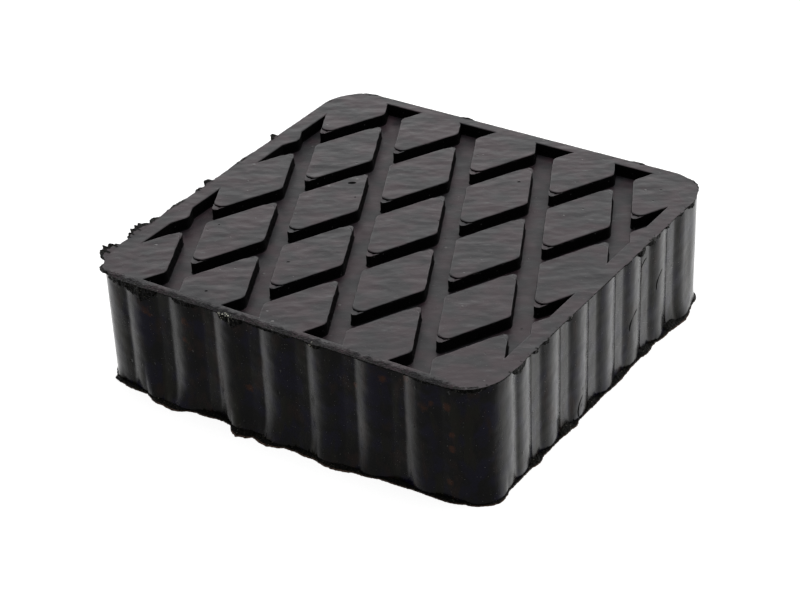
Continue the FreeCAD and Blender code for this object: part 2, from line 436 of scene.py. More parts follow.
def rim_ring(inset):
    """Ring on the rim's flat top, inset inwards from the outline."""
    def place(number):
        station = stations[number]
        return station.crest - station.out * inset + Vector((0, 0, HEIGHT))
    return place


def rim_mask(number):
    """The front rim is torn in ragged patches, and the other rims here and there."""
    station = stations[number]
    large, small = RIM_PATCHES
    patches = rough(station.crest, large, 1.0) + rough(station.crest, small, 0.5)
    limit = FRONT_RIM_LIMIT if station.walk < FRONT_WALK else OTHER_RIM_LIMIT
    return float(patches > limit)


def fin_mask(number):
    """The top of a fin is as torn as its tip, and the rim beside it much less."""
    return 1.0 if UPPER[number][0] > FIN_REACH else 0.2


# Rings of the two torn edges, from the floor up: share outwards, share of the thickness or of the
# depth, crease inwards, and how torn the ring is. The first one bounds the underside
LOWER_RINGS = (
    (0.0, 0.0, 1.5 * MM, 0.5), (1.0, 0.0, 0.0, 1.0), (1.0, 0.6, 0.0, 1.0),
    (0.85, 1.0, 0.0, 1.0), (0.4, 1.0, 0.0, 1.0), (0.0, 1.0, 0.15 * MM, 1.0),
)
UPPER_RINGS = (
    (0.0, 1.0, 0.2 * MM, 1.0), (0.5, 1.0, 0.0, 1.0), (0.85, 0.85, 0.0, 1.0), (0.95, 0.65, 0.0, 1.0),
    (0.9, 0.45, 0.0, 1.0), (1.0, 0.2, 0.0, 1.0), (0.98, 0.0, 0.0, 0.8), (0.5, 0.0, 0.0, fin_mask),
)

# Rings of the wall: their number, the first one's share of the way up, the share that they span,
# and how much closer they are at the foot
WALL_RINGS = 13
WALL_FIRST = 0.004
WALL_SPAN = 0.99
WALL_CROWDING = 1.35

# Insets of the rings on the rim, the last one whole
RIM_INSETS = (0.3 * MM, 0.8 * MM)
LAST_INSET = 1.3 * MM

# A face is torn where its vertices are so on average, apart from the underside, whose faces look
# down at least this much. Materials in the order of their slots
TORN_FACE = 0.6
DOWNWARD = -0.99
SMOOTH, TORN, WALL = range(3)


def make_block():
    """The block with its ribbed sides and torn webs, flat on top."""
    block = begin("moulded_pad", len(stations))
    for number, (out_share, up_share, crease, mask) in enumerate(LOWER_RINGS):
        place = lower_ring(out_share, up_share, crease)
        if number == 0:
            set_ring(block, place, mask)
            close_ring()
        else:
            next_ring(block, place, mask)
    for step in range(WALL_RINGS + 1):
        next_ring(block, wall_ring(WALL_FIRST + WALL_SPAN * (step / WALL_RINGS) ** WALL_CROWDING))
    for out_share, down_share, crease, mask in UPPER_RINGS:
        next_ring(block, upper_ring(out_share, down_share, crease), mask)
    for inset in RIM_INSETS:
        next_ring(block, rim_ring(inset), rim_mask)
    next_ring(block, rim_ring(LAST_INSET))
    close_ring()
    finish_piece()
    return block


# Round of an upper edge, from the wall up to the flat top and a little past it: outset and rise
EDGE_PROFILE = ((0.0, -1.0), (0.134, -0.5), (0.5, -0.134), (1.5, 0.134))
MOUTH = 1.5 * EDGE_ROUND
RECESS_STEPS = 12


def recess_ring(outset, level):
    """Ring round the wall of the recess, outset outwards from it."""
    def place(number):
        side, step = divmod(number, RECESS_STEPS + 1)
        out = SIDES[side][0]
        following = SIDES[(side + 1) % 4][0]
        reach_x, reach_y = RECESS_X - RECESS_RADIUS, RECESS_Y - RECESS_RADIUS
        centre = Vector(((out + following).x * reach_x, (out + following).y * reach_y, level))
        turn = math.pi / 2 * step / RECESS_STEPS
        return centre + (out * math.cos(turn) + following * math.sin(turn)) * (RECESS_RADIUS + outset)
    return place


def make_recess():
    """The hollow of the tread as a solid, with a mouth that rounds the rim's inner edge."""
    recess = begin("grooves", 4 * (RECESS_STEPS + 1))
    set_ring(recess, recess_ring(MOUTH, HEIGHT + SPARE), 0.0)
    close_ring()
    for outset, rise in reversed(EDGE_PROFILE):
        next_ring(recess, recess_ring(outset * EDGE_ROUND, HEIGHT + rise * EDGE_ROUND))
    next_ring(recess, recess_ring(0.0, GROOVE_FLOOR + FOOT))
    next_ring(recess, recess_ring(-FOOT, GROOVE_FLOOR))
    close_ring()
    finish_piece()
    return recess


def mark_torn_faces(block):
    """Gives the faces of the torn edges the rough finish, and the rest the moulded one."""
    masks = [value.value for value in block.data.attributes["torn"].data]
    for face in block.data.polygons:
        mean = sum(masks[vertex] for vertex in face.vertices) / len(face.vertices)
        face.material_index = TORN if mean > TORN_FACE and face.normal.z > DOWNWARD else SMOOTH


# What counts as a groove's wall: how upright it is, and how far below the top, in edge rounds
WALL_SLOPE = 0.8
WALL_DROP = 0.7


def mark_groove_walls(grooves):
    """Gives the upright faces of the grooves, below the rounded edges, their own dull finish, darkened with
    painted shade.
    """
    for face in grooves.data.polygons:
        below_edge = face.center.z < HEIGHT - EDGE_ROUND * WALL_DROP
        if below_edge and abs(face.normal.z) < WALL_SLOPE:
            face.material_index = WALL


# The lattice rhombus round one stud, and the slope of its flanks
CELL_X = STUD_PITCH / 2
CELL_Y = ROW_SPACING
FLANK_LENGTH = math.hypot(CELL_X, CELL_Y)
FLANK_OUT = (CELL_Y / FLANK_LENGTH, CELL_X / FLANK_LENGTH)
FLANK_TURN = math.atan2(FLANK_OUT[1], FLANK_OUT[0])
SIDE_ARC_STEPS = 12
TIP_ARC_STEPS = 8
FLANK_STEPS = 16
STUD_RING = 2 * SIDE_ARC_STEPS + 2 * TIP_ARC_STEPS + 4 * FLANK_STEPS


def stud_point(number, tip_radius, outset):
    """Point of the stud's outline: a rhombus with rounded tips, wider by outset."""
    inset = GROOVE_WIDTH / 2 - outset
    half = STUD_RING // 2
    sign = 1 if number < half else -1
    number %= half
    side_radius = STUD_SIDE_RADIUS + outset
    tip_radius = tip_radius + outset
    side_centre = CELL_X - (inset + side_radius) / FLANK_OUT[0]
    tip_centre = CELL_Y - (inset + tip_radius) / FLANK_OUT[1]

    def on_side(turn):
        return Vector((side_centre + side_radius * math.cos(turn), side_radius * math.sin(turn), 0))

    def on_tip(turn):
        return Vector((tip_radius * math.cos(turn), tip_centre + tip_radius * math.sin(turn), 0))

    if number < SIDE_ARC_STEPS:
        point = on_side(FLANK_TURN * (2 * number / SIDE_ARC_STEPS - 1))
    elif number < SIDE_ARC_STEPS + FLANK_STEPS:
        share = (number - SIDE_ARC_STEPS) / FLANK_STEPS
        point = on_side(FLANK_TURN).lerp(on_tip(FLANK_TURN), share)
    elif number < SIDE_ARC_STEPS + FLANK_STEPS + TIP_ARC_STEPS:
        share = (number - SIDE_ARC_STEPS - FLANK_STEPS) / TIP_ARC_STEPS
        point = on_tip(FLANK_TURN + (math.pi - 2 * FLANK_TURN) * share)
    else:
        share = (number - SIDE_ARC_STEPS - FLANK_STEPS - TIP_ARC_STEPS) / FLANK_STEPS
        left_side = math.pi - FLANK_TURN
        end = Vector((side_radius * math.cos(left_side) - side_centre, side_radius * math.sin(left_side), 0))
        point = on_tip(left_side).lerp(end, share)
    return point * sign


def stud_ring(tip_radius, outset, level):
    """Ring round the stud at a level."""
    def place(number):
        return stud_point(number, tip_radius, outset) + Vector((0, 0, level))
    return place


def ledge_ring(share, level, crack, ragged):
    """Ring from the crown's foot (share 0) to the edge of the ledges (share 1), cracked at the tips."""
    def place(number):
        step = number % (STUD_RING // 2) - SIDE_ARC_STEPS - FLANK_STEPS
        at_tip = math.sin(math.pi * step / TIP_ARC_STEPS) ** 0.5 if 0 < step < TIP_ARC_STEPS else 0.0
        crown = stud_point(number, CROWN_TIP_RADIUS, 0.0)
        spot = crown.lerp(stud_point(number, LEDGE_TIP_RADIUS, 0.0), share)
        bumps = math.sin(CRACK_STEP * number + CRACK_SHIFT * share) * ragged
        return spot + Vector((0, 0, level - at_tip * (crack + bumps)))
    return place


# Rings on a ledge: share from the crown's foot to the edge, drop, depth of the crack, raggedness
LEDGE_RINGS = (
    (0.0, 0.0, CRACK_DEPTH, 0.0), (0.1, 0.02 * MM, 0.0, 0.12 * MM),
    (0.55, 0.03 * MM, 0.0, 0.1 * MM), (0.93, 0.05 * MM, 0.0, 0.1 * MM),
)


def make_stud():
    """One stud about the Z axis: rounded crown, cracked lower ledges at its sharp tips, wall and foot."""
    stud = begin("stud", STUD_RING)
    crown, ledge = CROWN_TIP_RADIUS, LEDGE_TIP_RADIUS
    ledge_level = HEIGHT - LEDGE_DROP
    set_ring(stud, stud_ring(crown, -MOUTH, HEIGHT + 2 * SPARE), 0.0)
    close_ring()
    for outset, rise in reversed(EDGE_PROFILE):
        next_ring(stud, stud_ring(crown, -outset * EDGE_ROUND, HEIGHT + rise * EDGE_ROUND))
    for share, drop, crack, ragged in LEDGE_RINGS:
        next_ring(stud, ledge_ring(share, ledge_level - drop, crack, ragged))
    next_ring(stud, stud_ring(ledge, 0.0, ledge_level - LEDGE_ROUND))
    next_ring(stud, stud_ring(ledge, 0.0, GROOVE_FLOOR + FOOT))
    next_ring(stud, stud_ring(ledge, 2 * FOOT, GROOVE_FLOOR - FOOT))
    close_ring()
    finish_piece()
    return stud


def stud_places():
    """Middles of the studs that show, whole or in part, inside the recess."""
    reach_x = CELL_X - GROOVE_WIDTH / 2
    reach_y = stud_point(SIDE_ARC_STEPS + FLANK_STEPS + TIP_ARC_STEPS // 2, LEDGE_TIP_RADIUS, 0.0).y
    places = []
    for row in range(-3, 4):
        for column in range(-4, 5):
            x = (column + (row % 2) / 2) * STUD_PITCH
            y = row * ROW_SPACING
            if abs(x) - reach_x < RECESS_X and abs(y) - reach_y < RECESS_Y:
                places.append((x, y))
    return places


def select_only(pieces):
    """Selects these pieces alone and makes the first one active."""
    bpy.ops.object.select_all(action="DESELECT")
    for one in pieces:
        one.select_set(True)
    bpy.context.view_layer.objects.active = pieces[0]


def join_pieces(pieces, name):
    """Joins the pieces into the first one."""
    select_only(pieces)
    bpy.ops.object.join()
    joined = bpy.context.object
    joined.name = name
    return joined


def waver(place):
    """How far a stud's edge strays at a place."""
    large, small = STUD_WAVER_SIZES
    return rough(place, large, STUD_WAVER) + rough(place, small, STUD_WAVER * 0.5)


def make_studs():
    """All the studs, each with edges that waver a little in its own way."""
    pattern = make_stud()
    copies = []
    for x, y in stud_places():
        one = pattern.copy()
        one.data = pattern.data.copy()
        one.data.transform(Matrix.Translation((x, y, 0)))
        bpy.context.collection.objects.link(one)
        copies.append(one)
    studs = join_pieces(copies, "studs")
    bpy.data.objects.remove(pattern)
    for vertex in studs.data.vertices:
        place = vertex.co.copy()
        vertex.co = place + Vector((waver(place), waver(place + Vector((0, 0, HALF_SIDE))), 0))
    return studs


# Small pits in the tread, in millimetres: place, half length, half width and depth
PITS = [
    (-34.0, 15.8, 1.6, 0.9, 0.5), (18.8, 46.3, 0.7, 0.4, 0.3), (-34.3, -71.3, 0.6, 0.4, 0.3),
    (-21.3, -41.9, 0.7, 0.3, 0.3), (-27.0, 7.5, 0.35, 0.3, 0.3), (8.5, 8.0, 0.3, 0.25, 0.2),
    (42.0, -22.0, 0.35, 0.25, 0.2), (21.5, -3.0, 0.3, 0.25, 0.2), (-58.0, -33.0, 0.3, 0.3, 0.2),
]
PIT_TURN = math.radians(33)

# Curved nicks in the right face: middle along it and up it and chord, in millimetres, and slant
NICKS = [(19.5, 19.1, 7.0, 57), (38.6, 25.7, 4.2, 62), (-18.1, 5.3, 3.2, 70), (28.4, 35.6, 2.6, 50)]
NICK_RADIUS = 6 * MM
NICK_TILT = math.radians(15)
NICK_WIDTH = 0.36 * MM
SMOOTH_ANGLE = math.radians(38)


def make_pit(x, y, length, width, depth):
    """A flat ball that sinks into the tread."""
    bpy.ops.object.select_all(action="DESELECT")
    bpy.ops.mesh.primitive_uv_sphere_add(segments=16, ring_count=9, radius=MM)
    pit = bpy.context.object
    place = Matrix.Translation((x * MM, y * MM, HEIGHT)) @ Matrix.Rotation(PIT_TURN, 4, "Z")
    pit.data.transform(place @ Matrix.Diagonal((length, width, depth, 1)))
    return pit


def make_nick(along, up, chord, slant):
    """A tilted ring that sinks into the right face over one short arc."""
    bpy.ops.object.select_all(action="DESELECT")
    bpy.ops.mesh.primitive_torus_add(major_radius=NICK_RADIUS, minor_radius=NICK_WIDTH,
                                     major_segments=64, minor_segments=8)
    nick = bpy.context.object
    slant = math.radians(slant)
    bulge = Vector((0, -math.sin(slant), math.cos(slant)))
    face = Vector((1, 0, 0))
    chord_line = face.cross(bulge)
    turned = Matrix((bulge, chord_line, face)).transposed().to_4x4() @ Matrix.Rotation(NICK_TILT, 4, "Y")
    emerges = math.asin(chord * MM / 2 / NICK_RADIUS)
    above = NICK_RADIUS * math.sin(NICK_TILT) * math.cos(emerges)
    rib = min(rib_middles(SIDE_RIB_SHIFT), key=lambda middle: abs(middle - along * MM))
    from_rib = along * MM - rib
    arc = crest_arc(from_rib, RIB_RADII[RIGHT][int(from_rib > 0)])
    surface = HALF_SIDE - RIB_HEIGHT + max(arc, 0.0)
    centre = Vector((surface + above, along * MM, up * MM)) - bulge * NICK_RADIUS * math.cos(NICK_TILT)
    nick.data.transform(Matrix.Translation(centre) @ turned)
    return nick


def apply_modifier(piece, kind, **settings):
    """Adds one modifier to a piece and applies it at once."""
    select_only([piece])
    modifier = piece.modifiers.new(kind.lower(), kind)
    for setting, value in settings.items():
        setattr(modifier, setting, value)
    bpy.ops.object.modifier_apply(modifier=modifier.name)


def make_pad(materials):
    """The block, less the grooves between the studs, the pits and the nicks."""
    block = make_block()
    grooves = make_recess()
    studs = make_studs()
    apply_modifier(grooves, "BOOLEAN", operation="DIFFERENCE", solver="EXACT", object=studs)
    bpy.data.objects.remove(studs)
    marks = join_pieces([make_pit(*pit) for pit in PITS] + [make_nick(*nick) for nick in NICKS], "marks")
    for piece in (block, grooves, marks):
        piece.data.materials.clear()
        for material in materials:
            piece.data.materials.append(material)
    mark_torn_faces(block)
    mark_groove_walls(grooves)
    # The pits and nicks take the groove walls' finish, with its painted shade
    for face in marks.data.polygons:
        face.material_index = WALL
    for cutter in (grooves, marks):
        apply_modifier(block, "BOOLEAN", operation="DIFFERENCE", solver="EXACT", object=cutter)
        bpy.data.objects.remove(cutter)
    bpy.ops.object.shade_smooth_by_angle(angle=SMOOTH_ANGLE)
    apply_modifier(block, "WEIGHTED_NORMAL", keep_sharp=True)
    return block


def node_tree(owner):
    """The empty node tree of a material or a world."""
    owner.use_nodes = True
    owner.node_tree.nodes.clear()
    return owner.node_tree


def add(tree, kind, inputs=None, **settings):
    """Adds a node; inputs maps a socket to a value or to another node's output."""
    node = tree.nodes.new(kind)
    for setting, value in settings.items():
        setattr(node, setting, value)
    for socket, value in (inputs or {}).items():
        if isinstance(value, bpy.types.NodeSocket):
            tree.links.new(value, node.inputs[socket])
        else:
            node.inputs[socket].default_value = value
    return node


def math_node(tree, operation, first, second, clamp=False):
    """One operation on two values or outputs."""
    node = add(tree, "ShaderNodeMath", {0: first, 1: second}, operation=operation, use_clamp=clamp)
    return node.outputs[0]


def times(tree, first, second):
    return math_node(tree, "MULTIPLY", first, second)


def plus(tree, first, second):
    return math_node(tree, "ADD", first, second)


def minus(tree, first, second, clamp=False):
    return math_node(tree, "SUBTRACT", first, second, clamp)


def over(tree, first, second):
    return math_node(tree, "DIVIDE", first, second)


def part_of(tree, vector, axis):
    """One axis of a vector."""
    return add(tree, "ShaderNodeSeparateXYZ", {0: vector}).outputs[axis]


def ramp(tree, value, low, high, to_low=0.0, to_high=1.0):
    """Smooth step of a value from low to high."""
    inputs = {"Value": value, "From Min": low, "From Max": high, "To Min": to_low, "To Max": to_high}
    return add(tree, "ShaderNodeMapRange", inputs, interpolation_type="SMOOTHSTEP").outputs["Result"]


def mix_colour(tree, mask, one, other):
    """One colour where the mask is 0, and the other where it is 1."""
    node = add(tree, "ShaderNodeMix", data_type="RGBA")
    for socket, value in ((node.inputs[0], mask), (node.inputs[6], one), (node.inputs[7], other)):
        if isinstance(value, bpy.types.NodeSocket):
            tree.links.new(value, socket)
        else:
            socket.default_value = value if isinstance(value, float) else (*value, 1)
    return node.outputs[2]


def new_group(name, inputs, output):
    """Node group with named inputs and one value out, with its input and output nodes."""
    tree = bpy.data.node_groups.new(name, "ShaderNodeTree")
    for label, value in inputs.items():
        kind = "NodeSocketVector" if isinstance(value, tuple) else "NodeSocketFloat"
        tree.interface.new_socket(label, in_out="INPUT", socket_type=kind).default_value = value
    tree.interface.new_socket(output, in_out="OUTPUT", socket_type="NodeSocketFloat")
    return tree, tree.nodes.new("NodeGroupInput"), tree.nodes.new("NodeGroupOutput")


def place_group(tree, group, inputs):
    return add(tree, "ShaderNodeGroup", inputs, node_tree=group).outputs[0]


def uneven_group():
    """Unevenness of moulded or torn rubber at one size, about -0.5 to 0.5."""
    sockets = {"Vector": (0, 0, 0), "Size": 0.005, "Detail": 2.0, "Stretch": (1, 1, 1)}
    tree, given, result = new_group("uneven", sockets, "Height")
    stretched = add(tree, "ShaderNodeVectorMath", {0: given.outputs["Vector"], 1: given.outputs["Stretch"]},
                    operation="DIVIDE").outputs[0]
    cloud = add(tree, "ShaderNodeTexNoise", {
        "Vector": stretched, "Scale": over(tree, 1.0, given.outputs["Size"]),
        "Detail": given.outputs["Detail"]})
    tree.links.new(minus(tree, cloud.outputs[0], 0.5), result.inputs[0])
    return tree


# The smallest speck as a share of the radius. The largest is one radius more
LEAST_SPECK = 0.4


def specks_group():
    """Scattered specks: one in each cell of the given spacing, for a share of the cells."""
    sockets = {"Vector": (0, 0, 0), "Spacing": 0.002, "Radius": 0.0002, "Share": 0.3}
    tree, given, result = new_group("specks", sockets, "Mask")
    scale = over(tree, 1.0, given.outputs["Spacing"])
    cells = add(tree, "ShaderNodeTexVoronoi", {"Vector": given.outputs["Vector"], "Scale": scale})
    chance = add(tree, "ShaderNodeSeparateColor", {0: cells.outputs["Color"]})
    radius = over(tree, given.outputs["Radius"], given.outputs["Spacing"])
    size = times(tree, radius, plus(tree, chance.outputs[1], LEAST_SPECK))
    inside = minus(tree, 1.0, over(tree, cells.outputs["Distance"], size), clamp=True)
    chosen = math_node(tree, "LESS_THAN", chance.outputs[0], given.outputs["Share"])
    tree.links.new(times(tree, ramp(tree, inside, 0.0, 0.5), chosen), result.inputs[0])
    return tree


def spot_group():
    """One ragged spot about a place."""
    sockets = {"Vector": (0, 0, 0), "Place": (0, 0, 0), "Radius": 0.002, "Raggedness": 1.0}
    tree, given, result = new_group("spot", sockets, "Mask")
    away = add(tree, "ShaderNodeVectorMath", {0: given.outputs["Vector"], 1: given.outputs["Place"]},
               operation="DISTANCE").outputs["Value"]
    cloud = add(tree, "ShaderNodeTexNoise", {
        "Vector": given.outputs["Vector"], "Scale": over(tree, 1.3, given.outputs["Radius"]), "Detail": 4.0})
    ragged = times(tree, minus(tree, cloud.outputs[0], 0.5), given.outputs["Raggedness"])
    edge = plus(tree, over(tree, away, given.outputs["Radius"]), times(tree, ragged, 2.0))
    tree.links.new(ramp(tree, edge, 1.0, 0.35), result.inputs[0])
    return tree


UNEVEN = uneven_group()
SPECKS = specks_group()
SPOT = spot_group()
SPOT_RAGGEDNESS = 0.6


def uneven(tree, place, size, detail, stretch=(1, 1, 1)):
    """Unevenness about 0, at a size in millimetres."""
    return place_group(tree, UNEVEN, {"Vector": place, "Size": size * MM, "Detail": detail,
                                      "Stretch": stretch})


def specks(tree, place, spacing, radius, share):
    """Specks of about one radius, one in each cell of a spacing, both in millimetres."""
    return place_group(tree, SPECKS, {"Vector": place, "Spacing": spacing * MM, "Radius": radius * MM,
                                      "Share": share})


def spots(tree, place, middles_and_radii):
    """All the ragged spots of a list, each a middle and a radius in millimetres."""
    return any_of(tree, [place_group(tree, SPOT, {"Vector": place, "Place": middle, "Radius": radius * MM,
                                                  "Raggedness": SPOT_RAGGEDNESS})
                         for middle, radius in middles_and_radii])


# Rust-tinted blotches on the front face: place along it, height and radius, in millimetres
RUST_SPOTS = [
    (-55.3, 35.6, 2.6), (-53.6, 34.0, 1.6), (-37.9, 36.3, 2.6), (-36.0, 35.0, 1.4), (-38.4, 28.8, 2.4),
    (-36.5, 25.5, 1.8), (-18.5, 18.5, 1.6), (-13.0, 17.0, 2.0), (42.0, 39.5, 2.2), (51.1, 42.6, 2.0),
    (57.6, 34.5, 2.6), (60.5, 36.5, 1.6), (65.9, 36.2, 2.0), (67.4, 26.0, 1.5), (67.3, 20.5, 1.8),
    (66.5, 7.1, 1.8), (74.0, 28.0, 1.6), (31.0, 33.0, 1.6),
]
FRONT_LAND = HALF_SIDE - RIB_HEIGHT

# Heaps of pale specks in the torn front edge, partly crumbs and partly painted glints: place along it and
# radius, in millimetres
CRUMB_AND_GLINT_HEAPS = [(-21.5, 3.4), (-17.5, 2.6), (14, 3.0)]

# Direction of the wrinkles, and the band of the front rim that is worn: from none to all, with the
# raggedness of its edge
WRINKLE_TURN = math.radians(-33)
RIM_WEAR = (3.6 * MM, 1.2 * MM)
WEAR_RAGGED = 5 * MM

# Colours, linear, and the shine of the rubber that was torn or dragged
SIDE_BLACK = (0.0050, 0.0048, 0.0046)
SIDE_VIOLET = (0.0085, 0.0072, 0.0250)
SIDE_OLIVE = (0.0135, 0.0130, 0.0060)
SIDE_BROWN = (0.0230, 0.0120, 0.0090)
SIDE_RUST = (0.070, 0.0240, 0.0105)
SIDE_DUST = (0.14, 0.137, 0.128)
TOP_BLACK = (0.0100, 0.0088, 0.0120)
TOP_BLOOM = (0.0310, 0.0145, 0.0205)
TOP_SCUFF = (0.0030, 0.0030, 0.0030)
TOP_STROKE = (0.050, 0.046, 0.050)
TOP_DUST = (0.10, 0.095, 0.095)
# Pores are painted black: painted shade in them
PAINTED_PORE_SHADE = (0.002, 0.002, 0.002)
# The groove walls' black, deeper than the rubber's own, is painted shade of the grooves
GROOVE_PAINTED_SHADE = (0.0020, 0.0019, 0.0020)
GROOVE_WORN = (0.0050, 0.0046, 0.0052)
GROOVE_DUST = (0.05, 0.05, 0.05)
TORN_BLACK = (0.0016, 0.0016, 0.0010)
TORN_OLIVE = (0.0080, 0.0078, 0.0040)
# Pale specks of the torn rubber: partly crumbs, partly painted glints
GREY_CRUMB_AND_GLINT = (0.19, 0.185, 0.14)
PALE_CRUMB_AND_GLINT = (0.75, 0.74, 0.62)
FLOOR_BROWN = (0.200, 0.130, 0.095)
GROOVE_SPECULAR = 0.06
TORN_SPECULAR = 0.16


def any_of(tree, masks):
    """The strongest of several masks."""
    total = masks[0]
    for mask in masks[1:]:
        total = math_node(tree, "MAXIMUM", total, mask)
    return total


def start_material(name):
    """A material with its tree, its texture coordinates and its shader."""
    material = bpy.data.materials.new(name)
    tree = node_tree(material)
    where = add(tree, "ShaderNodeTexCoord")
    shader = add(tree, "ShaderNodeBsdfPrincipled")
    output = add(tree, "ShaderNodeOutputMaterial")
    tree.links.new(shader.outputs[0], output.inputs[0])
    return material, tree, where, shader


def add_bump(tree, shader, heights):
    """Bumps one over another; a height is (value about 0, amplitude in millimetres)."""
    total = None
    for value, amplitude in heights:
        term = times(tree, value, amplitude)
        total = term if total is None else plus(tree, total, term)
    bump = add(tree, "ShaderNodeBump", {"Distance": MM, "Height": total})
    tree.links.new(bump.outputs[0], shader.inputs["Normal"])


def rim_wear(tree, place):
    """Where the rim of the front edge is scuffed: a ragged band along it."""
    ragged = uneven(tree, place, 2.5, 3.0)
    inwards = plus(tree, plus(tree, part_of(tree, place, "Y"), HALF_SIDE), times(tree, ragged, WEAR_RAGGED))
    return ramp(tree, inwards, *RIM_WEAR)


def side_colour(tree, place, clouds, streaks, dust):
    """Black, clouded with violet, olive and brown, with rust on the front face."""
    tints = uneven(tree, place, 4.5, 3.0, (1, 1, 2))
    colour = mix_colour(tree, ramp(tree, clouds, -0.04, 0.12), SIDE_BLACK, SIDE_VIOLET)
    colour = mix_colour(tree, ramp(tree, streaks, 0.0, 0.16), colour, SIDE_OLIVE)
    colour = mix_colour(tree, ramp(tree, tints, 0.03, 0.2), colour, SIDE_BROWN)
    rust = spots(tree, place, [((x * MM, -FRONT_LAND, z * MM), radius) for x, z, radius in RUST_SPOTS])
    colour = mix_colour(tree, rust, colour, SIDE_RUST)
    return mix_colour(tree, dust, colour, SIDE_DUST)


def moulded_rubber():
    """Smooth black rubber: pinkish bloom and wrinkles on the tread, clouded sides, dust, and pores painted
    black as painted shade in them.
    """
    material, tree, where, shader = start_material("moulded_rubber")
    place = where.outputs["Object"]
    upward = ramp(tree, part_of(tree, where.outputs["Normal"], "Z"), 0.3, 0.8)
    turned = add(tree, "ShaderNodeMapping", {"Vector": place, "Rotation": (0, 0, WRINKLE_TURN)}).outputs[0]

    clouds = uneven(tree, place, 7, 4.0)
    streaks = uneven(tree, place, 5, 3.0, (1, 1, 3))
    swell = uneven(tree, turned, 6, 1.5, (1.6, 1, 1))
    wrinkles = uneven(tree, turned, 1.1, 3.0, (3.2, 1, 1))
    flow = uneven(tree, place, 2.2, 3.0, (1, 1, 2.5))
    grain = uneven(tree, place, 0.5, 2.0)
    bloom = uneven(tree, place, 10, 2.0)
    scuffs = uneven(tree, place, 0.8, 2.0)
    dust = specks(tree, place, 0.9, 0.14, 0.4)
    crumbs = specks(tree, place, 5, 0.55, 0.35)
    pores = specks(tree, place, 6, 0.5, 0.3)
    drawn = add(tree, "ShaderNodeMapping", {"Vector": turned, "Scale": (0.4, 1, 1)}).outputs[0]
    strokes = specks(tree, drawn, 3.6, 0.5, 0.3)
    wear = times(tree, rim_wear(tree, place), upward)

    top = mix_colour(tree, ramp(tree, bloom, -0.12, 0.14), TOP_BLACK, TOP_BLOOM)
    top = mix_colour(tree, times(tree, wear, ramp(tree, scuffs, -0.1, 0.1)), top, TOP_SCUFF)
    top = mix_colour(tree, strokes, top, TOP_STROKE)
    top = mix_colour(tree, any_of(tree, [dust, crumbs]), top, TOP_DUST)
    colour = mix_colour(tree, upward, side_colour(tree, place, clouds, streaks, dust), top)
    # The pores are painted black: painted shade in them
    tree.links.new(mix_colour(tree, pores, colour, PAINTED_PORE_SHADE), shader.inputs["Base Color"])

    side_gloss = ramp(tree, streaks, -0.25, 0.25, 0.20, 0.30)
    top_gloss = ramp(tree, clouds, -0.2, 0.2, 0.28, 0.40)
    gloss = add(tree, "ShaderNodeMix", {0: upward, 2: side_gloss, 3: top_gloss}).outputs[0]
    height = part_of(tree, place, "Z")
    in_groove = times(tree, upward, ramp(tree, height, HEIGHT - MM, HEIGHT - 3 * MM))
    dull = plus(tree, times(tree, dust, 0.25), times(tree, in_groove, 0.12))
    dull = plus(tree, dull, times(tree, wear, 0.6))
    tree.links.new(plus(tree, gloss, dull), shader.inputs["Roughness"])

    patches = ramp(tree, swell, 0.0, 0.16, 0.15, 1.0)
    wrinkled = times(tree, times(tree, wrinkles, patches), upward)
    swollen = times(tree, swell, plus(tree, times(tree, upward, 0.2), 0.3))
    add_bump(tree, shader, [(swollen, 1.0), (wrinkled, 0.065), (flow, 0.05), (grain, 0.025), (dust, 0.04),
                            (crumbs, 0.14), (pores, -0.2), (times(tree, scuffs, wear), 1.3)])
    return material


def groove_rubber_painted_shade():
    """Dull rubber of the upright groove walls, dragged rough by the mould; its black, deeper than the
    rubber's own, is painted shade of the grooves.
    """
    material, tree, where, shader = start_material("groove_rubber_painted_shade")
    place = where.outputs["Object"]
    drag = uneven(tree, place, 0.7, 3.0, (1, 1, 1.6))
    dust = specks(tree, place, 1.5, 0.32, 0.22)
    # Painted shade: the walls are darker than the rubber's own colour
    colour = mix_colour(tree, ramp(tree, drag, -0.1, 0.25), GROOVE_PAINTED_SHADE, GROOVE_WORN)
    tree.links.new(mix_colour(tree, dust, colour, GROOVE_DUST), shader.inputs["Base Color"])
    tree.links.new(ramp(tree, drag, -0.2, 0.2, 0.55, 0.8), shader.inputs["Roughness"])
    shader.inputs["Specular IOR Level"].default_value = GROOVE_SPECULAR
    add_bump(tree, shader, [(drag, 0.16)])
    return material


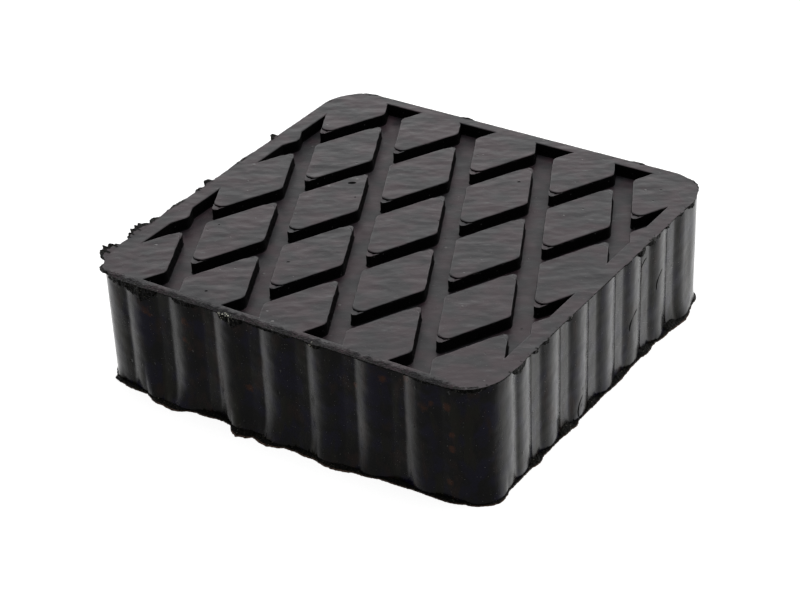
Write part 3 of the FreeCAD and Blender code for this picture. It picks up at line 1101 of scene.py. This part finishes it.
def torn_rubber():
    """Rough torn rubber of the flash: olive black with glints from its bumps, pale specks that are partly
    crumbs and partly painted glints, and brown at the very bottom.
    """
    material, tree, where, shader = start_material("torn_rubber")
    place = where.outputs["Object"]
    height = part_of(tree, place, "Z")
    lumps = uneven(tree, place, 1.1, 3.0)
    shreds = uneven(tree, place, 0.45, 2.0)
    # Pale specks all over the torn faces, and heaps of them at the front: partly crumbs, partly painted
    # glints
    crumbs = specks(tree, place, 0.7, 0.2, 0.22)
    crumb_and_glint_heap_spots = spots(tree, place, [((x * MM, -HALF_SIDE, HEIGHT), radius) for x, radius in CRUMB_AND_GLINT_HEAPS])
    heaped_crumbs_and_glints = times(tree, crumb_and_glint_heap_spots, specks(tree, place, 0.9, 0.42, 0.7))
    # Brown towards the very bottom of the flash, within about half a millimetre of the floor
    near_floor = ramp(tree, height, 0.55 * MM, 0.25 * MM)
    brown = times(tree, near_floor, ramp(tree, lumps, -0.25, 0.05))
    colour = mix_colour(tree, ramp(tree, lumps, -0.05, 0.2), TORN_BLACK, TORN_OLIVE)
    colour = mix_colour(tree, crumbs, colour, GREY_CRUMB_AND_GLINT)
    colour = mix_colour(tree, heaped_crumbs_and_glints, colour, PALE_CRUMB_AND_GLINT)
    colour = mix_colour(tree, brown, colour, FLOOR_BROWN)
    tree.links.new(colour, shader.inputs["Base Color"])
    tree.links.new(ramp(tree, shreds, -0.2, 0.2, 0.3, 0.75), shader.inputs["Roughness"])
    shader.inputs["Specular IOR Level"].default_value = TORN_SPECULAR
    add_bump(tree, shader, [(lumps, 1.0), (shreds, 0.5), (crumbs, 0.15)])
    return material


# The photograph's view: place, axes, lens and sensor
CAMERA_PLACE = (0.37313, -0.54841, 0.42375)
CAMERA_RIGHT = (0.8362, 0.5472, -0.0373)
CAMERA_BACK = (0.4821, -0.7008, 0.5258)
LENS = 97.27
SENSOR = 36.0


def make_camera():
    """A long lens above the front right corner."""
    data = bpy.data.cameras.new("camera")
    camera = bpy.data.objects.new("camera", data)
    bpy.context.scene.collection.objects.link(camera)
    data.lens = LENS
    data.sensor_width = SENSOR
    right = Vector(CAMERA_RIGHT).normalized()
    back = Vector(CAMERA_BACK).normalized()
    axes = Matrix((right, back.cross(right), back)).transposed().to_4x4()
    camera.matrix_world = Matrix.Translation(CAMERA_PLACE) @ axes
    bpy.context.scene.camera = camera


# The softbox above the pad, aimed at its middle
TOP_PLACE = (0.0, 0.35, 1.5)
TOP_SIZE = 1.5
TOP_POWER = 13


def make_softbox():
    data = bpy.data.lights.new("top_softbox", "AREA")
    data.shape = "RECTANGLE"
    data.size = data.size_y = TOP_SIZE
    data.energy = TOP_POWER
    lamp = bpy.data.objects.new("top_softbox", data)
    bpy.context.scene.collection.objects.link(lamp)
    lamp.location = TOP_PLACE
    lamp.rotation_euler = (-Vector(TOP_PLACE)).to_track_quat("-Z", "Y").to_euler()


# The sweep: direction to its middle, and how far a direction agrees with it where the light begins,
# is full at the sides and is full at the back, then the strengths there and its fall with height
SWEEP_DIRECTION = (-0.42, 0.91, 0.0)
SWEEP_BEGINS = -0.36
SWEEP_FULL = 0.3
BACK_FULL = 0.85
ROOM_LIGHT = 0.14
SIDE_SWEEP = 0.88
BACK_SWEEP = 1.3
LOW_LEVEL = 0.36
HIGH_LEVEL = 0.70
HIGH_SHARE = 0.3

# The floor: its side, its grey, and the glow that makes it white to the camera
FLOOR_SIZE = 6
FLOOR_COLOUR = 0.5
FLOOR_GLOW = 0.85


def sweep_light(tree):
    """Light of the sweep and the room by direction: brightest straight behind the pad and low down."""
    direction = add(tree, "ShaderNodeTexCoord").outputs["Generated"]
    behind = add(tree, "ShaderNodeVectorMath", {0: direction, 1: SWEEP_DIRECTION},
                 operation="DOT_PRODUCT").outputs["Value"]
    level = part_of(tree, direction, "Z")
    sweep = ramp(tree, behind, SWEEP_FULL, BACK_FULL, SIDE_SWEEP, BACK_SWEEP)
    share = ramp(tree, level, LOW_LEVEL, HIGH_LEVEL, 1.0, HIGH_SHARE)
    return ramp(tree, behind, SWEEP_BEGINS, SWEEP_FULL, ROOM_LIGHT, times(tree, sweep, share))


def make_studio():
    """A bright sweep behind the pad, a dim room before it, and a pale floor that holds the shadow."""
    world = bpy.data.worlds.new("studio")
    bpy.context.scene.world = world
    tree = node_tree(world)
    light = add(tree, "ShaderNodeBackground", {"Color": (1, 1, 1, 1), "Strength": sweep_light(tree)})
    seen = add(tree, "ShaderNodeBackground", {"Color": (1, 1, 1, 1)})
    path = add(tree, "ShaderNodeLightPath")
    mix = add(tree, "ShaderNodeMixShader", {0: path.outputs["Is Camera Ray"], 1: light.outputs[0],
                                            2: seen.outputs[0]})
    add(tree, "ShaderNodeOutputWorld", {0: mix.outputs[0]})

    bpy.ops.object.select_all(action="DESELECT")
    bpy.ops.mesh.primitive_plane_add(size=FLOOR_SIZE)
    floor = bpy.context.object
    floor.name = "floor"
    floor.data.materials.append(pale_floor())
    make_softbox()


def pale_floor():
    """White to the camera with the pad's shadow on it, and not in the way of reflections."""
    material = bpy.data.materials.new("pale_floor")
    tree = node_tree(material)
    path = add(tree, "ShaderNodeLightPath")
    matt = add(tree, "ShaderNodeBsdfDiffuse", {"Color": (FLOOR_COLOUR, FLOOR_COLOUR, FLOOR_COLOUR, 1)})
    glow = add(tree, "ShaderNodeEmission", {"Strength": FLOOR_GLOW})
    clear = add(tree, "ShaderNodeBsdfTransparent")
    gate = add(tree, "ShaderNodeMixShader", {0: path.outputs["Is Camera Ray"], 2: glow.outputs[0]})
    total = add(tree, "ShaderNodeAddShader", {0: matt.outputs[0], 1: gate.outputs[0]})
    open_to = add(tree, "ShaderNodeMixShader", {0: path.outputs["Is Glossy Ray"], 1: total.outputs[0],
                                                2: clear.outputs[0]})
    add(tree, "ShaderNodeOutputMaterial", {0: open_to.outputs[0]})
    return material


make_camera()
make_studio()
pad = make_pad([moulded_rubber(), torn_rubber(), groove_rubber_painted_shade()])
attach(pad, "root")
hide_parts("rubber_pad")

scene = bpy.context.scene
scene.view_settings.view_transform = "Standard"
bpy.context.view_layer.update()
